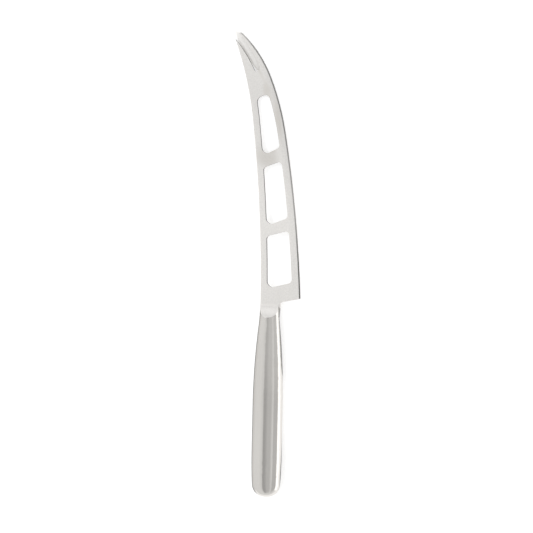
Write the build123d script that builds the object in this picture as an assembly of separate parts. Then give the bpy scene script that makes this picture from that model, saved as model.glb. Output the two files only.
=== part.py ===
from build123d import *
from math import acos, cos, degrees, radians, sin, sqrt, tan
import os

# Soft cheese knife, forged in one piece of stainless steel, in millimetres.
# It is drawn flat first: the handle's middle line is the Y axis with the butt at Y = 0,
# the tip points to +Y, the cutting edge lies on the +X side and Z is the thickness.
# The last step lays the knife on a table, with its origin under the middle of its outline.

# Handle: an oval bar with a domed butt, an even grip and a narrow neck
handle_width = 16.9
handle_thickness = 10.2
butt_width = 15.3
butt_end_radius = 11.0
butt_corner_radius = 7.0
grip_start = 24.0
handle_length = 105.6
taper_radius = 400.0
neck_radius = 48.0
neck_width = 11.1
neck_length = 4.3
neck_end_width = 10.5

# Neck: a hollow scoop on each side runs from the blade into the oval handle
scoop_radius = 13.0
scoop_start_angle = 2.0
scoop_sweep_angle = 60.0

# Blade: its sides thin down towards the tip
heel_thickness = 2.0
tip_thickness = 1.5
blade_root = 7.0
spine_round = 0.35

# Spine: from the neck it bends towards -X in two arcs
spine_offset = 5.2
spine_drop = 4.9
spine_body_radius = 824.0
spine_body_angle = 7.2
spine_tip_radius = 190.0
spine_tip_angle = 14.7

# Cutting edge: three arcs that tighten towards the tip, with a broad shallow bevel and a
# narrow steep one ground along it on both sides
heel_offset = 17.3
heel_rise = 3.3
edge_start_angle = 2.8
edge_body_radius = 712.0
edge_body_angle = 7.4
edge_belly_radius = 146.0
edge_belly_angle = 12.2
edge_tip_radius = 69.0
edge_tip_angle = 25.2
edge_land = 0.2
edge_shoulder = 1.0
edge_bevel_angle = 60.0
side_bevel_angle = 80.5

# Heel: the short lower side of the blade and its run into the neck
heel_lean_angle = 10.7
heel_corner = 0.5
heel_root = 1.6
neck_side = 6.2
neck_side_angle = 5.0

# Windows: three openings between a rail along the spine and a rail along the edge
spine_rail = 3.6
edge_rail = 4.4
heel_web = 5.8
heel_window = 28.9
heel_bridge = 6.0
middle_window = 32.8
tip_bridge = 7.3
tip_window = 33.5
heel_window_angle = 14.0
middle_window_angle = 20.0
tip_window_angle = 27.0
window_corner = 2.2
window_foot_corner = 3.2
tip_window_head_corner = 3.0

# Fork: a curved slot from the tip that leaves two prongs
slot_width = 3.2
slot_root_offset = -9.4
slot_root_rise = 124.8
slot_start_angle = 25.5
slot_spine_radius = 82.0
slot_edge_radius = 100.0
slot_length = 32.0
slot_corner = 1.0
prong_round = 0.3

# Rest: the knife lies on its side, rolled a little towards the cutting edge
rest_roll_angle = 1.7
steepest_rest_angle = 10.0
rest_steps = 20

# Room that cutting tools reach past the metal: at its ends, at its sides and at the tip
clear = 5.0
side_clear = 60.0
heel_clear = 20.0
tip_clear_angle = 10.0

# Heights worked out from the sizes above, along the knife from the butt
heel_height = handle_length + heel_rise
spine_start = heel_height - spine_drop
slot_root_height = heel_height + slot_root_rise


def heading(turn):
    """Direction along the knife, turned from +Y towards -X by an angle in degrees."""
    return Vector(-sin(radians(turn)), cos(radians(turn)))


def edge_arcs(inset=0.0, extra_angle=0.0):
    """The cutting edge from heel to tip, moved inwards by an inset."""
    start = Vector(heel_offset, heel_height)
    inward = heading(edge_start_angle + 90)
    body = JernArc(start + inward * inset, heading(edge_start_angle),
                   edge_body_radius - inset, edge_body_angle)
    belly = JernArc(body @ 1, body % 1, edge_belly_radius - inset, edge_belly_angle)
    tip = JernArc(belly @ 1, belly % 1, edge_tip_radius - inset, edge_tip_angle + extra_angle)
    return [body, belly, tip]


def spine_arcs(inset=0.0):
    """The spine from neck to tip, moved inwards by an inset."""
    start = Vector(inset - spine_offset, spine_start)
    body = JernArc(start, heading(0), spine_body_radius + inset, spine_body_angle)
    tip = JernArc(body @ 1, body % 1, spine_tip_radius + inset, spine_tip_angle)
    return [body, tip]


def round_corner(face, point, radius):
    """Round the corner of a flat face that lies nearest to a point."""
    corner = face.vertices().sort_by_distance(point)[0]
    return fillet(corner, radius)


def half_thickness(height):
    """Half of the blade's thickness at a distance from the butt."""
    tip_height = (edge_arcs()[-1] @ 1).Y
    share = (height - heel_height) / (tip_height - heel_height)
    return (heel_thickness + (tip_thickness - heel_thickness) * share) / 2


def handle_outline():
    """Outline of the handle's +X half, from the butt to the end of the neck."""
    corner_x = butt_width / 2
    corner_y = butt_end_radius - sqrt(butt_end_radius**2 - corner_x**2)
    half = handle_width / 2
    swing = degrees(acos(1 - (half - neck_width / 2) / (taper_radius + neck_radius)))
    butt = TangentArc((0, 0), (corner_x, corner_y), tangent=(1, 0))
    side = TangentArc((half, grip_start), (corner_x, corner_y), tangent=(0, -1))
    swing_length = (taper_radius + neck_radius) * sin(radians(swing))
    grip_end = handle_length - neck_length - swing_length
    grip = Line((half, grip_start), (half, grip_end))
    taper = JernArc((half, grip_end), (0, 1), taper_radius, swing)
    neck = JernArc(taper @ 1, taper % 1, neck_radius, -swing)
    neck_end = Line(neck @ 1, (neck_end_width / 2, handle_length))
    return [butt, side, grip, taper, neck, neck_end]


def oval_bar():
    """The handle before the scoops: a turned bar flattened to an oval section."""
    outline = handle_outline()
    top = Line(outline[-1] @ 1, (0, handle_length))
    middle = Line((0, handle_length), (0, 0))
    profile = make_face(outline + [top, middle])
    profile = round_corner(profile, outline[0] @ 1, butt_corner_radius)
    turned = revolve(profile, Axis.Y)
    return scale(turned, by=(1, 1, handle_thickness / handle_width))


def scoop():
    """Metal ground away above the neck, with its hollow tangent side down."""
    start = Vector(handle_length, half_thickness(handle_length))
    rise = Vector(-cos(radians(scoop_start_angle)), sin(radians(scoop_start_angle)))
    hollow = JernArc(start, rise, scoop_radius, -scoop_sweep_angle)
    top = handle_thickness
    front = handle_length + clear
    rest = Polyline(hollow @ 1, ((hollow @ 1).X, top), (front, top), (front, start.Y), start)
    side_view = Plane.YZ * make_face([hollow, rest])
    return extrude(side_view, handle_width, both=True)


def handle():
    """The oval bar with a scoop ground into both sides of its neck."""
    upper = scoop()
    return oval_bar() - upper - mirror(upper, Plane.XY)


def window(foot, head, lean, head_corner=window_corner):
    """Plan of one opening: foot and head are where its ends cross the handle's line."""
    spine = spine_arcs(spine_rail)
    edge = edge_arcs(edge_rail)
    tip_side = Line(edge[-1] @ 1, spine[-1] @ 1)
    heel_side = Line(spine[0] @ 0, edge[0] @ 0)
    band = make_face(edge + [tip_side] + spine + [heel_side])
    slope = tan(radians(lean))
    climb = slope * side_clear
    ends = make_face(Polyline((-side_clear, foot - climb), (side_clear, foot + climb),
                              (side_clear, head + climb), (-side_clear, head - climb),
                              close=True))
    opening = band & ends
    corners = sorted(opening.vertices(), key=lambda v: v.Y - slope * v.X)
    foot_spine, foot_edge = sorted(corners[:2], key=lambda v: v.X)
    for corner in [foot_edge, *corners[-2:]]:
        radius = window_corner if corner is foot_edge else head_corner
        opening = round_corner(opening, corner.center(), radius)
    return round_corner(opening, foot_spine.center(), window_foot_corner)


def windows():
    """Plans of the three openings, from the heel to the tip."""
    heel_foot = heel_height + heel_web
    middle_foot = heel_foot + heel_window + heel_bridge
    tip_foot = middle_foot + middle_window + tip_bridge
    return [
        window(heel_foot, heel_foot + heel_window, heel_window_angle),
        window(middle_foot, middle_foot + middle_window, middle_window_angle),
        window(tip_foot, tip_foot + tip_window, tip_window_angle, tip_window_head_corner),
    ]


def fork_slot():
    """Plan of the slot between the prongs, square at its root with round corners."""
    root = Vector(slot_root_offset, slot_root_height)
    ahead = heading(slot_start_angle)
    to_spine = heading(slot_start_angle + 90) * (slot_width / 2)
    near = JernArc(root + to_spine, ahead, slot_spine_radius, degrees(slot_length / slot_spine_radius))
    far = JernArc(root - to_spine, ahead, slot_edge_radius, degrees(slot_length / slot_edge_radius))
    slot = make_face([near, far, Line(near @ 0, far @ 0), Line(near @ 1, far @ 1)])
    for corner in (root + to_spine, root - to_spine):
        slot = round_corner(slot, corner, slot_corner)
    return slot


def blade_plan():
    """Outline of the blade with its windows and fork, and a root inside the handle."""
    edge = edge_arcs()
    spine = spine_arcs()
    heel = edge[0] @ 0
    root = Vector(neck_side, heel.Y - (heel.X - neck_side) * tan(radians(heel_lean_angle)))
    tail_y = handle_length - blade_root
    tail = Vector(neck_side - (root.Y - tail_y) * tan(radians(neck_side_angle)), tail_y)
    tip = Line(edge[-1] @ 1, spine[-1] @ 1)
    rest = Polyline(heel, root, tail, Vector(-spine_offset, tail_y), spine[0] @ 0)
    plan = make_face(edge + [tip] + spine + [rest])
    plan = round_corner(plan, root, heel_root)
    plan = round_corner(plan, heel, heel_corner)
    for opening in windows():
        plan -= opening
    plan -= fork_slot()
    for prong in (edge[-1] @ 1, spine[-1] @ 1):
        plan = round_corner(plan, prong, prong_round)
    return plan


def thinning():
    """Side view of the blade's taper, as a wedge wider than the blade."""
    back = handle_length - blade_root
    front = (edge_arcs()[-1] @ 1).Y + clear
    outline = [(back, half_thickness(back)), (front, half_thickness(front)),
               (front, -half_thickness(front)), (back, -half_thickness(back))]
    return extrude(Plane.YZ * make_face(Polyline(*outline, close=True)), side_clear, both=True)


def ground_room(inset):
    """Plan of the room inside the cutting edge, from an inset line to beyond the spine."""
    edge = edge_arcs(inset, tip_clear_angle)
    first = edge[0] @ 0 - heading(edge_start_angle) * heel_clear
    last = edge[-1] @ 1
    rest = Polyline(last, (-side_clear, last.Y), (-side_clear, first.Y), first, edge[0] @ 0)
    return make_face(edge + [rest])


def grinding():
    """Room between the bevels: steep at the cutting edge, then shallow up to the sides."""
    steep_height = (edge_shoulder - edge_land) / 2
    steep_width = steep_height * tan(radians(edge_bevel_angle))
    edge_plane = Plane.XY.offset(edge_land / 2)
    shoulder_plane = Plane.XY.offset(edge_shoulder / 2)
    land = extrude(ground_room(0), edge_land / 2, both=True)
    steep = extrude(edge_plane * ground_room(0), steep_height, taper=edge_bevel_angle)
    shallow = extrude(shoulder_plane * ground_room(steep_width), heel_thickness / 2, taper=side_bevel_angle)
    upper = steep + shallow
    return land + upper + mirror(upper, Plane.XY)


def blade():
    """The plate with its taper, its cutting bevels and a rounded back."""
    plate = extrude(blade_plan(), heel_thickness, both=True) & thinning() & grinding()
    back = []
    for arc in spine_arcs():
        middle = arc @ 0.5
        for side in (1, -1):
            point = Vector(middle.X, middle.Y, side * half_thickness(middle.Y))
            back.append(plate.edges().sort_by_distance(point)[0])
    return fillet(back, spine_round)


def lowest(shape, pitch):
    """Lowest height of a shape after the knife is rolled and pitched."""
    return lie(shape, pitch).bounding_box().min.Z


def lie(shape, pitch):
    """Roll towards the cutting edge, then lower the tip."""
    return shape.rotate(Axis.Y, rest_roll_angle).rotate(Axis.X, -pitch)


def resting_pitch(handle_solid, blade_solid):
    """Pitch at which the handle and the blade touch the table together."""
    flat, steep = 0.0, steepest_rest_angle
    for _ in range(rest_steps):
        pitch = (flat + steep) / 2
        if lowest(blade_solid, pitch) > lowest(handle_solid, pitch):
            flat = pitch
        else:
            steep = pitch
    return (flat + steep) / 2


def knife_at_rest():
    """The whole knife lying on a table, centred over the origin."""
    handle_solid = handle()
    blade_solid = blade()
    pitch = resting_pitch(handle_solid, blade_solid)
    knife = lie(handle_solid + blade_solid, pitch)
    box = knife.bounding_box()
    return Pos(-box.center().X, -box.center().Y, -box.min.Z) * knife


os.makedirs("parts", exist_ok=True)
export_step(knife_at_rest(), "parts/cheese_knife.step")
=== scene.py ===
import bpy
import bmesh
from math import cos, pi, radians, sin
from mathutils import Matrix, Vector

# Soft cheese knife in one piece of stainless steel, lying on its side on a pale table.
# Sizes are in metres here, and in millimetres inside the steel's pattern.

# How the knife lies: rolled towards its cutting edge, with the tip lowered
rest_roll = radians(1.7)
rest_pitch = radians(1.4551592)
rest_place = Vector((0.0026979, -0.1272859, 0.0065959))

# Camera: turned from the flat of the blade towards the cutting edge, seen from far away
camera_side_angle = radians(15.0)
camera_lean = radians(1.2)
camera_distance = 1.6
camera_sensor = 0.036
picture_side = 533
metres_per_pixel = 0.000548
butt_pixel = (265.7, 497.0)

# Steel: the satin blade's colour is painted lighter than the polished handle's, a painted sheen that is
# lighter at the heel than at the tip; its cut walls carry painted shade
heel_sheen_colour = (0.905, 0.885, 0.857)
tip_sheen_colour = (0.765, 0.75, 0.727)
# Painted shade in the deep of the scoop beside the handle
scoop_shade_colour = (0.735, 0.72, 0.70)
polished_colour = (0.70, 0.68, 0.65)
# Painted shade on the cut walls: darkest in the slot and on walls facing the tip, lighter on walls facing the
# handle
cut_wall_shade = (0.10, 0.098, 0.095)
slot_wall_shade = (0.08, 0.078, 0.076)
upper_wall_shade = (0.40, 0.39, 0.38)
# Painted dark reflection on the cutting bevel, darker at the heel
edge_bevel_dark_reflection = (0.56, 0.55, 0.535)
heel_bevel_dark_reflection = (0.19, 0.186, 0.18)
# Colour of the darker patches, partly a painted reflection
dark_patch_colour = (0.69, 0.667, 0.633)
satin_roughness = 0.40
bevel_roughness = 0.30
polished_roughness = 0.08
scoop_centre_height = 106.05
scoop_centre_rise = 14.0
scoop_radius = 13.0
handle_end = 105.6
heel_height = 108.9
slot_root = 233.0

# Darker patches on the satin steel, partly a painted reflection along the slot and the cutting edge: middle,
# half width and half length in millimetres, and turn
dark_patches = (
    ((-3.0, 186.0), (7.0, 7.0), 0.0),
    ((-9.8, 236.0), (1.3, 12.0), 28.0),
    ((-4.0, 222.0), (2.0, 7.0), 12.0),
    ((3.0, 205.0), (2.2, 14.0), 8.0),
    ((-0.5, 190.0), (3.5, 5.0), 0.0),
)

# Studio: a pale surround, a grey card over the handle and darker cards beside the knife, some of them painted
# shade for the contact shadow that the handle reflects, and a painted shadow on the table under the fork
surround_level = 0.92
floor_colour = (0.80, 0.80, 0.80)
floor_side = 6.0
floor_glow = 0.42
# Painted shadow on the table under the fork: share of glow left, warm tint, middle, half size and turn
fork_shade = 0.27
fork_shade_tint = (1.0, 0.85, 0.6)
fork_middle = (-15.3, 244.2)
fork_half_size = (2.2, 14.0)
fork_turn = radians(33.0)
card_height = 1.0
card_side = -6.0
card_foot = (-2.6, -1.0)
card_head = (0.20, 0.30)
card_lift = (-0.16, 0.06)
dark_tone = 0.47
middle_tone = 0.63
light_tone = 0.90
card_tones = (
    (-0.80, surround_level),
    (-0.40, 0.80),
    (-0.36, dark_tone),
    (-0.20, dark_tone),
    (0.0, middle_tone),
    (0.25, middle_tone),
    (0.50, light_tone),
    (0.60, middle_tone),
    (1.865, middle_tone),
)
blade_card_level = 0.30


def knife_turn():
    """Turn from the knife's own axes to the table's."""
    return Matrix.Rotation(-rest_pitch, 3, 'X') @ Matrix.Rotation(rest_roll, 3, 'Y')


def on_table(point):
    """Place on the table of a point given on the knife's own axes."""
    return knife_turn() @ Vector(point) + rest_place


def add_node(tree, kind, **settings):
    """Put a node in a tree and set its plain settings."""
    node = tree.nodes.new(kind)
    for name, value in settings.items():
        setattr(node, name, value)
    return node


def sum_of(tree, operation, first, second=None, third=None):
    """A Math node, whose inputs are numbers or sockets."""
    node = add_node(tree, 'ShaderNodeMath', operation=operation)
    for socket, value in zip(node.inputs, (first, second, third)):
        feed(tree, socket, value)
    return node.outputs[0]


def feed(tree, socket, value):
    """Link a socket or set its number."""
    if value is None:
        return
    if isinstance(value, bpy.types.NodeSocket):
        tree.links.new(value, socket)
    else:
        socket.default_value = value


def ramp_between(tree, value, low, high, at_low=0.0, at_high=1.0):
    """A smooth rise from one level to another as a value goes from low to high."""
    node = add_node(tree, 'ShaderNodeMapRange', interpolation_type='SMOOTHSTEP')
    feed(tree, node.inputs['Value'], value)
    node.inputs['From Min'].default_value = low
    node.inputs['From Max'].default_value = high
    node.inputs['To Min'].default_value = at_low
    node.inputs['To Max'].default_value = at_high
    return node.outputs['Result']


def noise(tree, place, stretch, scale, detail=3.0, roughness=0.5):
    """Noise on a place stretched along the knife's axes."""
    stretched = add_node(tree, 'ShaderNodeVectorMath', operation='MULTIPLY')
    tree.links.new(place, stretched.inputs[0])
    stretched.inputs[1].default_value = stretch
    node = add_node(tree, 'ShaderNodeTexNoise')
    tree.links.new(stretched.outputs[0], node.inputs['Vector'])
    node.inputs['Scale'].default_value = scale
    node.inputs['Detail'].default_value = detail
    node.inputs['Roughness'].default_value = roughness
    return node.outputs['Fac']


def along_axis(tree, direction, axis):
    """How far a direction points along one of the knife's own axes."""
    node = add_node(tree, 'ShaderNodeVectorMath', operation='DOT_PRODUCT')
    tree.links.new(direction, node.inputs[0])
    node.inputs[1].default_value = knife_turn() @ Vector(axis)
    return node.outputs['Value']


def mixed_colour(tree, share, first, second):
    """A colour between two, where each is a colour or a socket."""
    node = add_node(tree, 'ShaderNodeMix', data_type='RGBA')
    feed(tree, node.inputs['Factor'], share)
    for name, colour in (('A', first), ('B', second)):
        if isinstance(colour, bpy.types.NodeSocket):
            tree.links.new(colour, node.inputs[name])
        else:
            node.inputs[name].default_value = (*colour, 1.0)
    return node.outputs['Result']


def scaled_colour(tree, colour, share):
    """A colour made darker or lighter by a share."""
    node = add_node(tree, 'ShaderNodeVectorMath', operation='SCALE')
    tree.links.new(colour, node.inputs[0])
    feed(tree, node.inputs['Scale'], share)
    return node.outputs[0]


def steel():
    """Stainless steel: satin ground blade and scoops, polished handle, with painted sheen, shade, highlight
    and reflections in its colour.
    """
    material = bpy.data.materials.new("steel")
    material.use_nodes = True
    tree = material.node_tree
    shader = tree.nodes['Principled BSDF']
    shader.inputs['Metallic'].default_value = 1.0

    coordinates = add_node(tree, 'ShaderNodeTexCoord')
    knife = add_node(tree, 'ShaderNodeMapping', vector_type='TEXTURE')
    tree.links.new(coordinates.outputs['Object'], knife.inputs['Vector'])
    knife.inputs['Location'].default_value = rest_place
    knife.inputs['Rotation'].default_value = knife_turn().to_euler('XYZ')
    knife.inputs['Scale'].default_value = (0.001, 0.001, 0.001)
    place = knife.outputs['Vector']
    parts = add_node(tree, 'ShaderNodeSeparateXYZ')
    tree.links.new(place, parts.inputs[0])
    along = parts.outputs['Y']
    thickness = sum_of(tree, 'ABSOLUTE', parts.outputs['Z'])

    back = sum_of(tree, 'SUBTRACT', along, scoop_centre_height)
    down = sum_of(tree, 'SUBTRACT', thickness, scoop_centre_rise)
    reach = sum_of(tree, 'SQRT', sum_of(tree, 'ADD', sum_of(tree, 'MULTIPLY', back, back),
                                        sum_of(tree, 'MULTIPLY', down, down)))
    in_scoop = ramp_between(tree, reach, scoop_radius + 0.05, scoop_radius + 0.2, 1.0, 0.0)
    on_blade = ramp_between(tree, along, handle_end - 0.2, handle_end + 0.1)
    satin = sum_of(tree, 'MAXIMUM', in_scoop, on_blade)

    flatness = sum_of(tree, 'ABSOLUTE', along_axis(tree, coordinates.outputs['Normal'], (0, 0, 1)))
    to_edge = along_axis(tree, coordinates.outputs['Normal'], (1, 0, 0))
    above_heel = ramp_between(tree, along, heel_height, heel_height + 0.3)
    cut = sum_of(tree, 'MULTIPLY', ramp_between(tree, flatness, 0.2, 0.45, 1.0, 0.0), above_heel)
    edge_bevel = sum_of(tree, 'MULTIPLY', ramp_between(tree, to_edge, 0.3, 0.4), above_heel)
    side_bevel_glint = sum_of(tree, 'MULTIPLY', ramp_between(tree, to_edge, 0.09, 0.13), above_heel)
    in_slot = ramp_between(tree, along, slot_root - 0.5, slot_root)

    grain = noise(tree, place, (6.0, 0.12, 6.0), 1.0, 4.0, 0.6)
    cloud = noise(tree, place, (0.08, 0.04, 0.08), 1.0, 3.0, 0.5)
    speckle = noise(tree, place, (1.1, 1.1, 1.1), 1.0, 2.0, 0.6)

    # Darker patches on the satin steel, partly a painted reflection along the slot and the cutting edge
    dark_patch = 0.0
    for (across, height), (half_width, half_length), turn in dark_patches:
        spot = add_node(tree, 'ShaderNodeMapping', vector_type='TEXTURE')
        tree.links.new(place, spot.inputs['Vector'])
        spot.inputs['Location'].default_value = (across, height, 0.0)
        spot.inputs['Rotation'].default_value = (0.0, 0.0, radians(turn))
        spot.inputs['Scale'].default_value = (half_width, half_length, 4.0)
        distance = add_node(tree, 'ShaderNodeVectorMath', operation='LENGTH')
        tree.links.new(spot.outputs[0], distance.inputs[0])
        rough_edge = sum_of(tree, 'MULTIPLY_ADD', cloud, 1.2, distance.outputs['Value'])
        dark_patch = sum_of(tree, 'MAXIMUM', dark_patch, ramp_between(tree, rough_edge, 0.9, 1.9, 1.0, 0.0))
    dark_patch = sum_of(tree, 'MULTIPLY', dark_patch, ramp_between(tree, speckle, 0.2, 0.6, 0.6, 1.0))

    # Painted sheen: the satin steel's colour is lighter than the polished handle's, most at the heel
    satin_tone = mixed_colour(tree, ramp_between(tree, along, 140.0, 225.0), heel_sheen_colour, tip_sheen_colour)
    # Painted shade: the scoop darkens towards the handle
    scoop_shade = sum_of(tree, 'MULTIPLY', in_scoop, ramp_between(tree, along, 103.9, 105.9, 1.0, 0.0))
    satin_tone = mixed_colour(tree, scoop_shade, satin_tone, scoop_shade_colour)
    mottle = sum_of(tree, 'MULTIPLY', ramp_between(tree, cloud, 0.35, 0.65, 0.98, 1.0),
                    ramp_between(tree, speckle, 0.25, 0.75, 0.95, 1.03))
    satin_tone = scaled_colour(tree, satin_tone, mottle)
    satin_tone = mixed_colour(tree, dark_patch, satin_tone, dark_patch_colour)
    # Painted highlight on the shallow side bevel
    satin_tone = scaled_colour(tree, satin_tone, ramp_between(tree, side_bevel_glint, 0.0, 1.0, 1.0, 1.05))
    # Painted dark reflection on the cutting bevel, darkest at the heel
    bevel_dark_reflection = mixed_colour(tree, ramp_between(tree, along, 120.0, 165.0), heel_bevel_dark_reflection,
                              edge_bevel_dark_reflection)
    satin_tone = mixed_colour(tree, edge_bevel, satin_tone, bevel_dark_reflection)
    # Painted shade on the cut walls: darker in the slot and on walls facing the tip, lighter on walls facing
    # the handle
    wall_shade_tone = mixed_colour(tree, in_slot, cut_wall_shade, slot_wall_shade)
    to_tip = along_axis(tree, coordinates.outputs['Normal'], (0, 1, 0))
    wall_shade_tone = mixed_colour(tree, ramp_between(tree, to_tip, 0.15, 0.5), wall_shade_tone, slot_wall_shade)
    wall_shade_tone = mixed_colour(tree, ramp_between(tree, to_tip, -0.6, -0.3), upper_wall_shade, wall_shade_tone)
    satin_tone = mixed_colour(tree, cut, satin_tone, wall_shade_tone)
    polished_tone = mixed_colour(tree, ramp_between(tree, cloud, 0.35, 0.65),
                                 [c * 0.975 for c in polished_colour], polished_colour)
    tree.links.new(mixed_colour(tree, satin, polished_tone, satin_tone), shader.inputs['Base Color'])

    satin_rough = sum_of(tree, 'MULTIPLY_ADD', edge_bevel, bevel_roughness - satin_roughness, satin_roughness)
    rough = sum_of(tree, 'SUBTRACT', satin_rough, polished_roughness)
    rough = sum_of(tree, 'MULTIPLY_ADD', rough, satin, polished_roughness)
    rough = sum_of(tree, 'MULTIPLY_ADD', grain, 0.06, rough)
    tree.links.new(rough, shader.inputs['Roughness'])

    waves = noise(tree, place, (0.22, 0.05, 0.22), 1.0, 2.0, 0.5)
    hammering = add_node(tree, 'ShaderNodeBump')
    hammering.inputs['Strength'].default_value = 1.0
    hammering.inputs['Distance'].default_value = 0.00003
    tree.links.new(waves, hammering.inputs['Height'])
    bump = add_node(tree, 'ShaderNodeBump')
    bump.inputs['Strength'].default_value = 0.2
    bump.inputs['Distance'].default_value = 0.00001
    tree.links.new(grain, bump.inputs['Height'])
    tree.links.new(hammering.outputs['Normal'], bump.inputs['Normal'])
    tree.links.new(bump.outputs['Normal'], shader.inputs['Normal'])
    return material


def seen_rays(tree):
    """One for the camera's rays and for those that show the background in metal or glass."""
    path = add_node(tree, 'ShaderNodeLightPath')
    mirrored = sum_of(tree, 'MAXIMUM', path.outputs['Is Glossy Ray'], path.outputs['Is Transmission Ray'])
    return sum_of(tree, 'MAXIMUM', path.outputs['Is Camera Ray'], mirrored)


def floor_material():
    """White to the camera and in the steel, with the knife's shadow on it and a painted shadow under the
    fork.
    """
    material = bpy.data.materials.new("pale_floor")
    material.use_nodes = True
    tree = material.node_tree
    shader = tree.nodes['Principled BSDF']
    shader.inputs['Base Color'].default_value = (*floor_colour, 1.0)
    shader.inputs['Roughness'].default_value = 1.0
    shader.inputs['Specular IOR Level'].default_value = 0.0
    coordinates = add_node(tree, 'ShaderNodeTexCoord')
    # Painted shadow under the fork: in a patch between the prongs the glow dims and turns warm
    under_fork = add_node(tree, 'ShaderNodeMapping', vector_type='TEXTURE')
    tree.links.new(coordinates.outputs['Object'], under_fork.inputs['Vector'])
    middle = on_table([c * 0.001 for c in (*fork_middle, 0.0)])
    under_fork.inputs['Location'].default_value = (middle.x, middle.y, 0.0)
    under_fork.inputs['Rotation'].default_value = (0.0, 0.0, fork_turn)
    under_fork.inputs['Scale'].default_value = [c * 0.001 for c in (*fork_half_size, 1.0)]
    distance = add_node(tree, 'ShaderNodeVectorMath', operation='LENGTH')
    tree.links.new(under_fork.outputs[0], distance.inputs[0])
    open_share = ramp_between(tree, distance.outputs['Value'], 0.85, 1.1, fork_shade, 1.0)
    glow = add_node(tree, 'ShaderNodeEmission')
    tree.links.new(mixed_colour(tree, open_share, fork_shade_tint, (1.0, 1.0, 1.0)), glow.inputs['Color'])
    strength = sum_of(tree, 'MULTIPLY', seen_rays(tree), floor_glow)
    feed(tree, glow.inputs['Strength'], sum_of(tree, 'MULTIPLY', strength, open_share))
    both = add_node(tree, 'ShaderNodeAddShader')
    tree.links.new(shader.outputs[0], both.inputs[0])
    tree.links.new(glow.outputs[0], both.inputs[1])
    tree.links.new(both.outputs[0], tree.nodes['Material Output'].inputs['Surface'])
    return material


def floor():
    """The table top under the knife."""
    shape = bmesh.new()
    bmesh.ops.create_grid(shape, x_segments=1, y_segments=1, size=floor_side / 2)
    mesh = bpy.data.meshes.new("floor")
    shape.to_mesh(mesh)
    shape.free()
    table = bpy.data.objects.new("floor", mesh)
    bpy.context.scene.collection.objects.link(table)
    mesh.materials.append(floor_material())
    return table


def camera():
    """A long lens that looks a little past the flat of the blade from the cutting edge."""
    side = Vector((cos(camera_side_angle), 0, -sin(camera_side_angle)))
    ahead = Vector((0, 1, 0))
    towards = Vector((sin(camera_side_angle), 0, cos(camera_side_angle)))
    right = side * cos(camera_lean) + ahead * sin(camera_lean)
    up = ahead * cos(camera_lean) - side * sin(camera_lean)
    middle = picture_side / 2
    centre = right * ((middle - butt_pixel[0]) * metres_per_pixel)
    centre += up * ((butt_pixel[1] - middle) * metres_per_pixel)
    turn = knife_turn()
    place = on_table(centre) + turn @ towards * camera_distance
    axes = Matrix((turn @ right, turn @ up, turn @ towards)).transposed()
    data = bpy.data.cameras.new("camera")
    data.sensor_width = camera_sensor * 1000
    data.lens = camera_sensor * 1000 * camera_distance / (picture_side * metres_per_pixel)
    data.clip_end = 50.0
    view = bpy.data.objects.new("camera", data)
    view.matrix_world = Matrix.Translation(place) @ axes.to_4x4()
    bpy.context.scene.collection.objects.link(view)
    bpy.context.scene.camera = view


def softbox(name, place, target, width, length, brightness, colour=(1.0, 1.0, 1.0)):
    """A flat lamp facing a target, with its brightness given as seen from the front."""
    data = bpy.data.lights.new(name, 'AREA')
    data.shape = 'RECTANGLE'
    data.size = width
    data.size_y = length
    data.energy = brightness * pi * width * length
    data.color = colour
    lamp = bpy.data.objects.new(name, data)
    lamp.location = place
    facing = Vector(place) - Vector(target)
    lamp.rotation_euler = facing.to_track_quat('Z', 'Y').to_euler()
    bpy.context.scene.collection.objects.link(lamp)
    return lamp


def overhead_tone(tree):
    """Tone of the overhead card: soft bands across it that fade out at its foot and head."""
    coordinates = add_node(tree, 'ShaderNodeTexCoord')
    parts = add_node(tree, 'ShaderNodeSeparateXYZ')
    tree.links.new(coordinates.outputs['Object'], parts.inputs[0])
    left, right = card_tones[0][0], card_tones[-1][0]
    share = sum_of(tree, 'DIVIDE', sum_of(tree, 'SUBTRACT', parts.outputs['X'], left), right - left)
    bands = add_node(tree, 'ShaderNodeValToRGB')
    tree.links.new(share, bands.inputs['Fac'])
    stops = bands.color_ramp.elements
    while len(stops) < len(card_tones):
        stops.new(0.5)
    for stop, (edge, tone) in zip(stops, card_tones):
        stop.position = (edge - left) / (right - left)
        stop.color = (tone, tone, tone, 1.0)
    kept = sum_of(tree, 'MULTIPLY', ramp_between(tree, parts.outputs['Y'], *card_foot),
                  ramp_between(tree, parts.outputs['Y'], *card_head, 1.0, 0.0))
    kept = sum_of(tree, 'MULTIPLY', kept, ramp_between(tree, parts.outputs['Y'], *card_lift, 1.0, 0.7))
    difference = sum_of(tree, 'SUBTRACT', bands.outputs['Color'], surround_level)
    return sum_of(tree, 'MULTIPLY_ADD', difference, kept, surround_level)


def card(name, corners, tone):
    """A flat card that only the steel sees, of one tone or with the overhead bands."""
    shape = bmesh.new()
    shape.faces.new([shape.verts.new(corner) for corner in corners])
    mesh = bpy.data.meshes.new(name)
    shape.to_mesh(mesh)
    shape.free()
    board = bpy.data.objects.new(name, mesh)
    bpy.context.scene.collection.objects.link(board)
    material = bpy.data.materials.new(name)
    material.use_nodes = True
    tree = material.node_tree
    tree.nodes.clear()
    glow = add_node(tree, 'ShaderNodeEmission')
    glow.inputs['Color'].default_value = (1.0, 1.0, 1.0, 1.0)
    feed(tree, glow.inputs['Strength'], overhead_tone(tree) if tone is None else tone)
    out = add_node(tree, 'ShaderNodeOutputMaterial')
    tree.links.new(glow.outputs[0], out.inputs['Surface'])
    mesh.materials.append(material)
    board.visible_camera = False
    board.visible_shadow = False
    board.visible_diffuse = False
    return board


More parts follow.
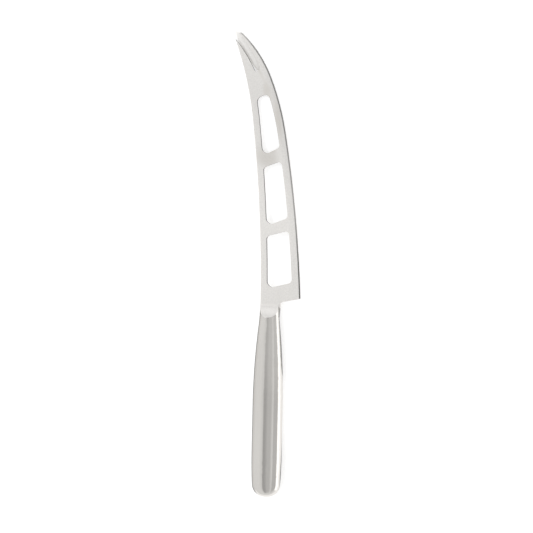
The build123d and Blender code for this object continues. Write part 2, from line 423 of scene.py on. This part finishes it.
def studio():
    """Soft lamps and cards round the knife in a pale surround."""
    world = bpy.data.worlds.new("surround")
    bpy.context.scene.world = world
    world.use_nodes = True
    tree = world.node_tree
    tree.nodes.clear()
    level = sum_of(tree, 'MULTIPLY_ADD', seen_rays(tree), 1.0 - surround_level, surround_level)
    back = add_node(tree, 'ShaderNodeBackground')
    back.inputs['Color'].default_value = (1.0, 1.0, 1.0, 1.0)
    feed(tree, back.inputs['Strength'], level)
    out = add_node(tree, 'ShaderNodeOutputWorld')
    tree.links.new(back.outputs[0], out.inputs['Surface'])
    left, right, head = card_tones[0][0], card_tones[-1][0], card_head[1]
    card("overhead_card", [(left, card_side, card_height), (right, card_side, card_height),
                           (right, head, card_height), (left, head, card_height)], None)
    card("side_card", [(card_side, card_side, card_height), (left, card_side, card_height),
                       (left, head, card_height), (card_side, head, card_height)], surround_level)
    # Painted shade: a dark card just above the table left of the handle, for the contact shadow its side
    # reflects
    card("rim_shadow_card", [(-0.0075, -0.135, 0.0003), (-0.016, -0.135, 0.004), (-0.016, -0.02, 0.004),
                      (-0.0075, -0.02, 0.0003)], 0.46)
    card("side_band", [(-0.016, -0.135, 0.004), (-0.03, -0.135, 0.014), (-0.03, -0.02, 0.014),
                       (-0.016, -0.02, 0.004)], 0.84)
    # Painted shade: dark strips on the table right of the neck and butt, for the contact shadow the handle
    # reflects
    card("neck_shadow_strip", [(0.0095, -0.064, 0.0003), (0.021, -0.054, 0.0003), (0.026, -0.045, 0.0003),
                        (0.0105, -0.024, 0.0003), (0.0015, -0.024, 0.0003), (0.006, -0.054, 0.0003)], 0.45)
    card("butt_shadow_strip", [(0.0095, -0.125, 0.0003), (0.019, -0.118, 0.0003), (0.017, -0.108, 0.0003),
                        (0.0095, -0.092, 0.0003), (0.006, -0.108, 0.0003), (0.004, -0.118, 0.0003)], 0.42)
    card("blade_card", [(0.25, 0.1, 0.0), (0.25, 0.7, 0.0), (0.25, 0.7, 0.4), (0.25, 0.1, 0.4)],
         blade_card_level)
    softbox("handle_lamp", (0.2, -0.14, 0.0535), (0, -0.14, 0.0535), 0.30, 0.107, 0.6)
    softbox("key_lamp", (-0.75, 0.45, 0.8), (0, 0, 0), 0.3, 0.3, 8.0)


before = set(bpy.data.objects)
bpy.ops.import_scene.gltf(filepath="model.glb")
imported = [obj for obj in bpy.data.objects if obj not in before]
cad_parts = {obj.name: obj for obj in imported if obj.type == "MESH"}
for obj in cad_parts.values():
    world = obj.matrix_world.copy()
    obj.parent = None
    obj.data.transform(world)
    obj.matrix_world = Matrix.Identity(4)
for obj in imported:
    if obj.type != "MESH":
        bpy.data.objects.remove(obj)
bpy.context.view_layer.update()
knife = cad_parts["cheese_knife"]
steel_finish = steel()
for slot in knife.material_slots:
    slot.material = steel_finish
floor()
camera()
studio()
bpy.context.scene.view_settings.view_transform = 'Standard'
